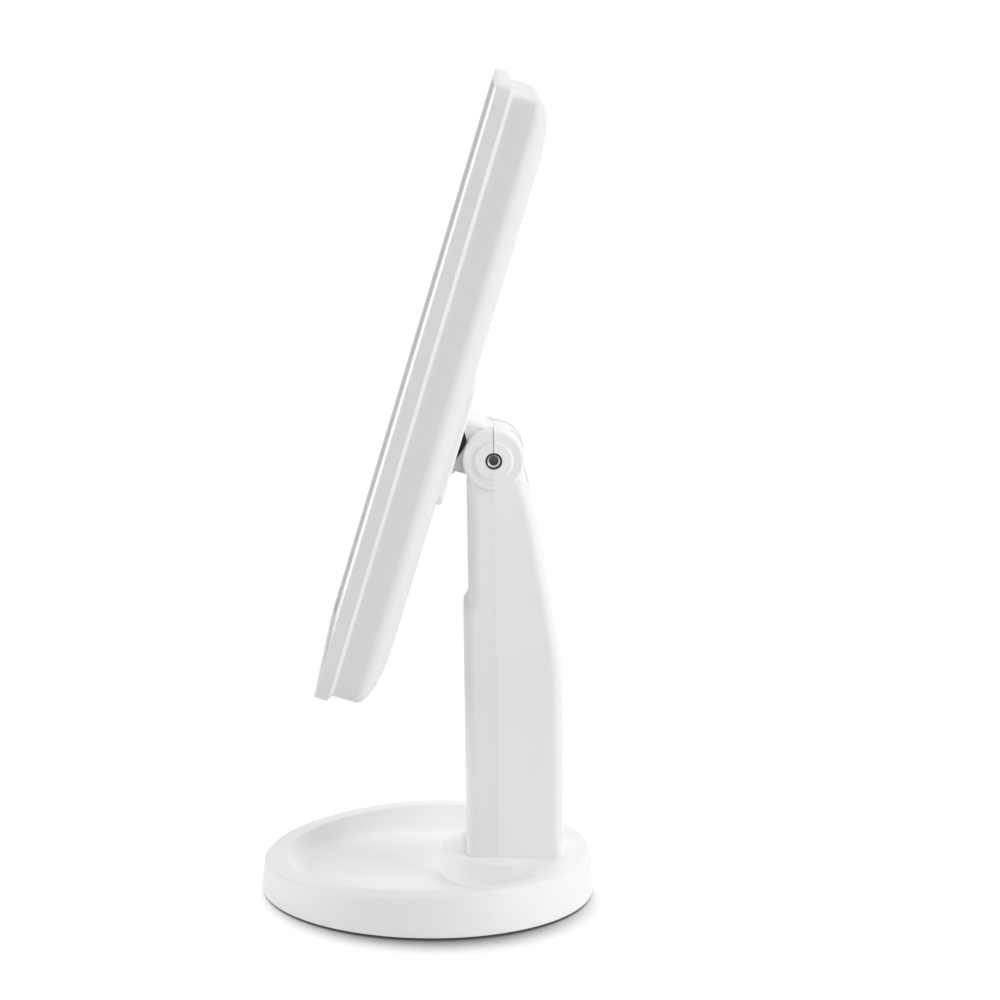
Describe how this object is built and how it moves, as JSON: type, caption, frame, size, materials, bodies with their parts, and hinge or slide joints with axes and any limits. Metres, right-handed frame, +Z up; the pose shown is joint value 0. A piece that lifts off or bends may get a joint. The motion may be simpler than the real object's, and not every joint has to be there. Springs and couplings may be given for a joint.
{
  "type": "lighted tabletop mirror",
  "caption": "Rectangular lighted mirror head on a friction hinge, tilting on a slim column that stands on a round weighted base with a crescent tray.",
  "frame": {"origin": "centre of the round base on the table", "axes": "+Z up from the table, the mirror faces -Y, the hinge axis runs along X"},
  "size_m": [0.131, 0.12, 0.2936],
  "materials": {
    "white_plastic": "satin moulded",
    "cover_plastic": "moulded",
    "pad_rubber": "foam rubber",
    "ballast_steel": "stamped",
    "screw_steel": "zinc plated",
    "washer_nylon": "stamped",
    "cell_can": "wrapped",
    "holder_plastic": "moulded",
    "contact_metal": "nickel plated",
    "lead_jacket": "extruded",
    "gasket_rubber": "moulded",
    "grommet_rubber": "moulded",
    "mirror_glass": "silvered",
    "carrier_plastic": "moulded",
    "diffuser_plastic": "opal",
    "board_laminate": "coated",
    "chip_resin": "cast",
    "sensor_foam": "conductive foam"
  },
  "bodies": {
    "stand": {"base_tray": "white_plastic", "base_cover": "cover_plastic", "ballast_plate": "ballast_steel", "anti_slip_pad": "pad_rubber", "cover_screws": "screw_steel", "foot_screws": "screw_steel", "column_front_shell": "white_plastic", "column_rear_shell": "white_plastic", "column_screws": "screw_steel", "battery_cells": "cell_can", "contact_holders": "holder_plastic", "contact_strips": "contact_metal", "column_lead": "lead_jacket", "pivot_screws": "screw_steel", "friction_washers": "washer_nylon"},
    "head": {"front_frame": "white_plastic", "mirror_gasket": "gasket_rubber", "mirror_glass": "mirror_glass", "mirror_carrier": "carrier_plastic", "light_diffusers": "diffuser_plastic", "led_boards": "board_laminate", "led_chips": "chip_resin", "led_leads": "lead_jacket", "touch_board": "board_laminate", "touch_sensor": "sensor_foam", "rear_shell": "white_plastic", "hinge_bracket": "white_plastic", "lead_grommet": "grommet_rubber", "bracket_screws": "screw_steel", "head_lead": "lead_jacket"},
    "battery_door": {"battery_door": "white_plastic"}
  },
  "joints": [
    {"name": "head_tilt", "type": "hinge", "parent": "stand", "child": "head", "pos_m": [0, 0.0214, 0.1606], "axis": [-1, 0, 0], "range_deg": [-17, 134]},
    {"name": "battery_door_lift", "type": "slide", "parent": "stand", "child": "battery_door", "axis": [0, 0.9996, 0.0279], "range_m": [0, 0.015]}
  ]
}
